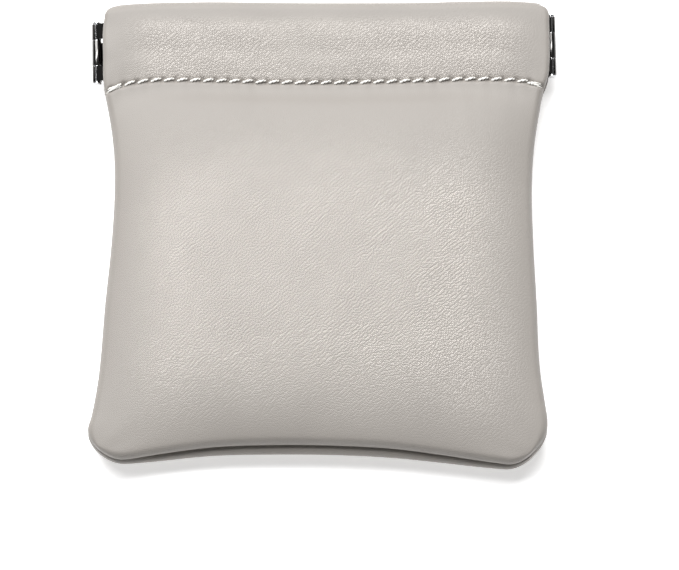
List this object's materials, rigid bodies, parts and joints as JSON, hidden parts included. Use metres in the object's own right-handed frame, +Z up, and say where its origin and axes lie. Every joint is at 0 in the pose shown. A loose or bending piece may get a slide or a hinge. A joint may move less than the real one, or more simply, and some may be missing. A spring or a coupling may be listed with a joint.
{
  "type": "squeeze-top leather jewelry pouch",
  "caption": "Flat leather jewelry pouch whose hinged spring-strip frame opens when its two ends are squeezed and snaps shut by itself.",
  "frame": {"origin": "on the surface that the pouch lies on, under the middle of its overall box", "axes": "+X across the pouch to its right hinge, +Y towards its mouth, +Z up from the back panel to the front panel"},
  "size_m": [0.1052, 0.1072, 0.015],
  "materials": {
    "front_leather": "warm light grey grained leather, semi-gloss",
    "back_leather": "warm light grey grained leather, semi-gloss",
    "spring_steel": "blued spring steel",
    "gunmetal": "dark polished gunmetal plating",
    "pin_steel": "bright drawn steel",
    "cream_thread": "matt cream sewing thread"
  },
  "bodies": {
    "pouch": {"back_panel": "back_leather", "back_spring_strip": "spring_steel", "back_hem_thread": "cream_thread", "bottom_seam_thread": "cream_thread"},
    "front": {"front_panel": "front_leather", "front_spring_strip": "spring_steel", "front_hem_thread": "cream_thread"},
    "left_end": {"left_hinge_pin": "pin_steel", "left_seam_thread": "cream_thread"},
    "right_end": {"right_hinge_pin": "pin_steel", "right_seam_thread": "cream_thread"},
    "left_front_leaf": {"left_front_leaf": "gunmetal"},
    "left_back_leaf": {"left_back_leaf": "gunmetal"},
    "right_front_leaf": {"right_front_leaf": "gunmetal"},
    "right_back_leaf": {"right_back_leaf": "gunmetal"}
  },
  "joints": [
    {"name": "mouth_open", "type": "hinge", "parent": "pouch", "child": "front", "pos_m": [0, -0.0495, 0.007], "axis": [1, 0, 0], "range_deg": [0, 20], "stiffness_Nm_per_rad": 0.3, "springref_deg": -20.05, "deforming": ["front_panel", "back_panel", "front_spring_strip", "back_spring_strip", "front_hem_thread", "back_hem_thread"]},
    {"name": "left_end_swing", "type": "hinge", "parent": "pouch", "child": "left_end", "pos_m": [0, -0.0495, 0.007], "axis": [1, 0, 0], "range_deg": [0, 10]},
    {"name": "right_end_swing", "type": "hinge", "parent": "pouch", "child": "right_end", "pos_m": [0, -0.0495, 0.007], "axis": [1, 0, 0], "range_deg": [0, 10]},
    {"name": "left_front_leaf_turn", "type": "hinge", "parent": "left_end", "child": "left_front_leaf", "pos_m": [-0.05148, 0.0431, 0.007], "axis": [0.0175, -0.9998, 0], "range_deg": [0, 22]},
    {"name": "left_back_leaf_turn", "type": "hinge", "parent": "left_end", "child": "left_back_leaf", "pos_m": [-0.05148, 0.0431, 0.007], "axis": [0.0175, -0.9998, 0], "range_deg": [-22, 0]},
    {"name": "right_front_leaf_turn", "type": "hinge", "parent": "right_end", "child": "right_front_leaf", "pos_m": [0.05148, 0.0449, 0.007], "axis": [-0.0175, 0.9998, 0], "range_deg": [0, 22]},
    {"name": "right_back_leaf_turn", "type": "hinge", "parent": "right_end", "child": "right_back_leaf", "pos_m": [0.05148, 0.0449, 0.007], "axis": [-0.0175, 0.9998, 0], "range_deg": [-22, 0]}
  ],
  "couplings": [
    {"joint": "left_end_swing", "follows": "mouth_open", "ratio": 0.5},
    {"joint": "right_end_swing", "follows": "mouth_open", "ratio": 0.5},
    {"joint": "left_front_leaf_turn", "follows": "mouth_open", "ratio": 1.1},
    {"joint": "left_back_leaf_turn", "follows": "mouth_open", "ratio": -1.1},
    {"joint": "right_front_leaf_turn", "follows": "mouth_open", "ratio": 1.1},
    {"joint": "right_back_leaf_turn", "follows": "mouth_open", "ratio": -1.1}
  ]
}
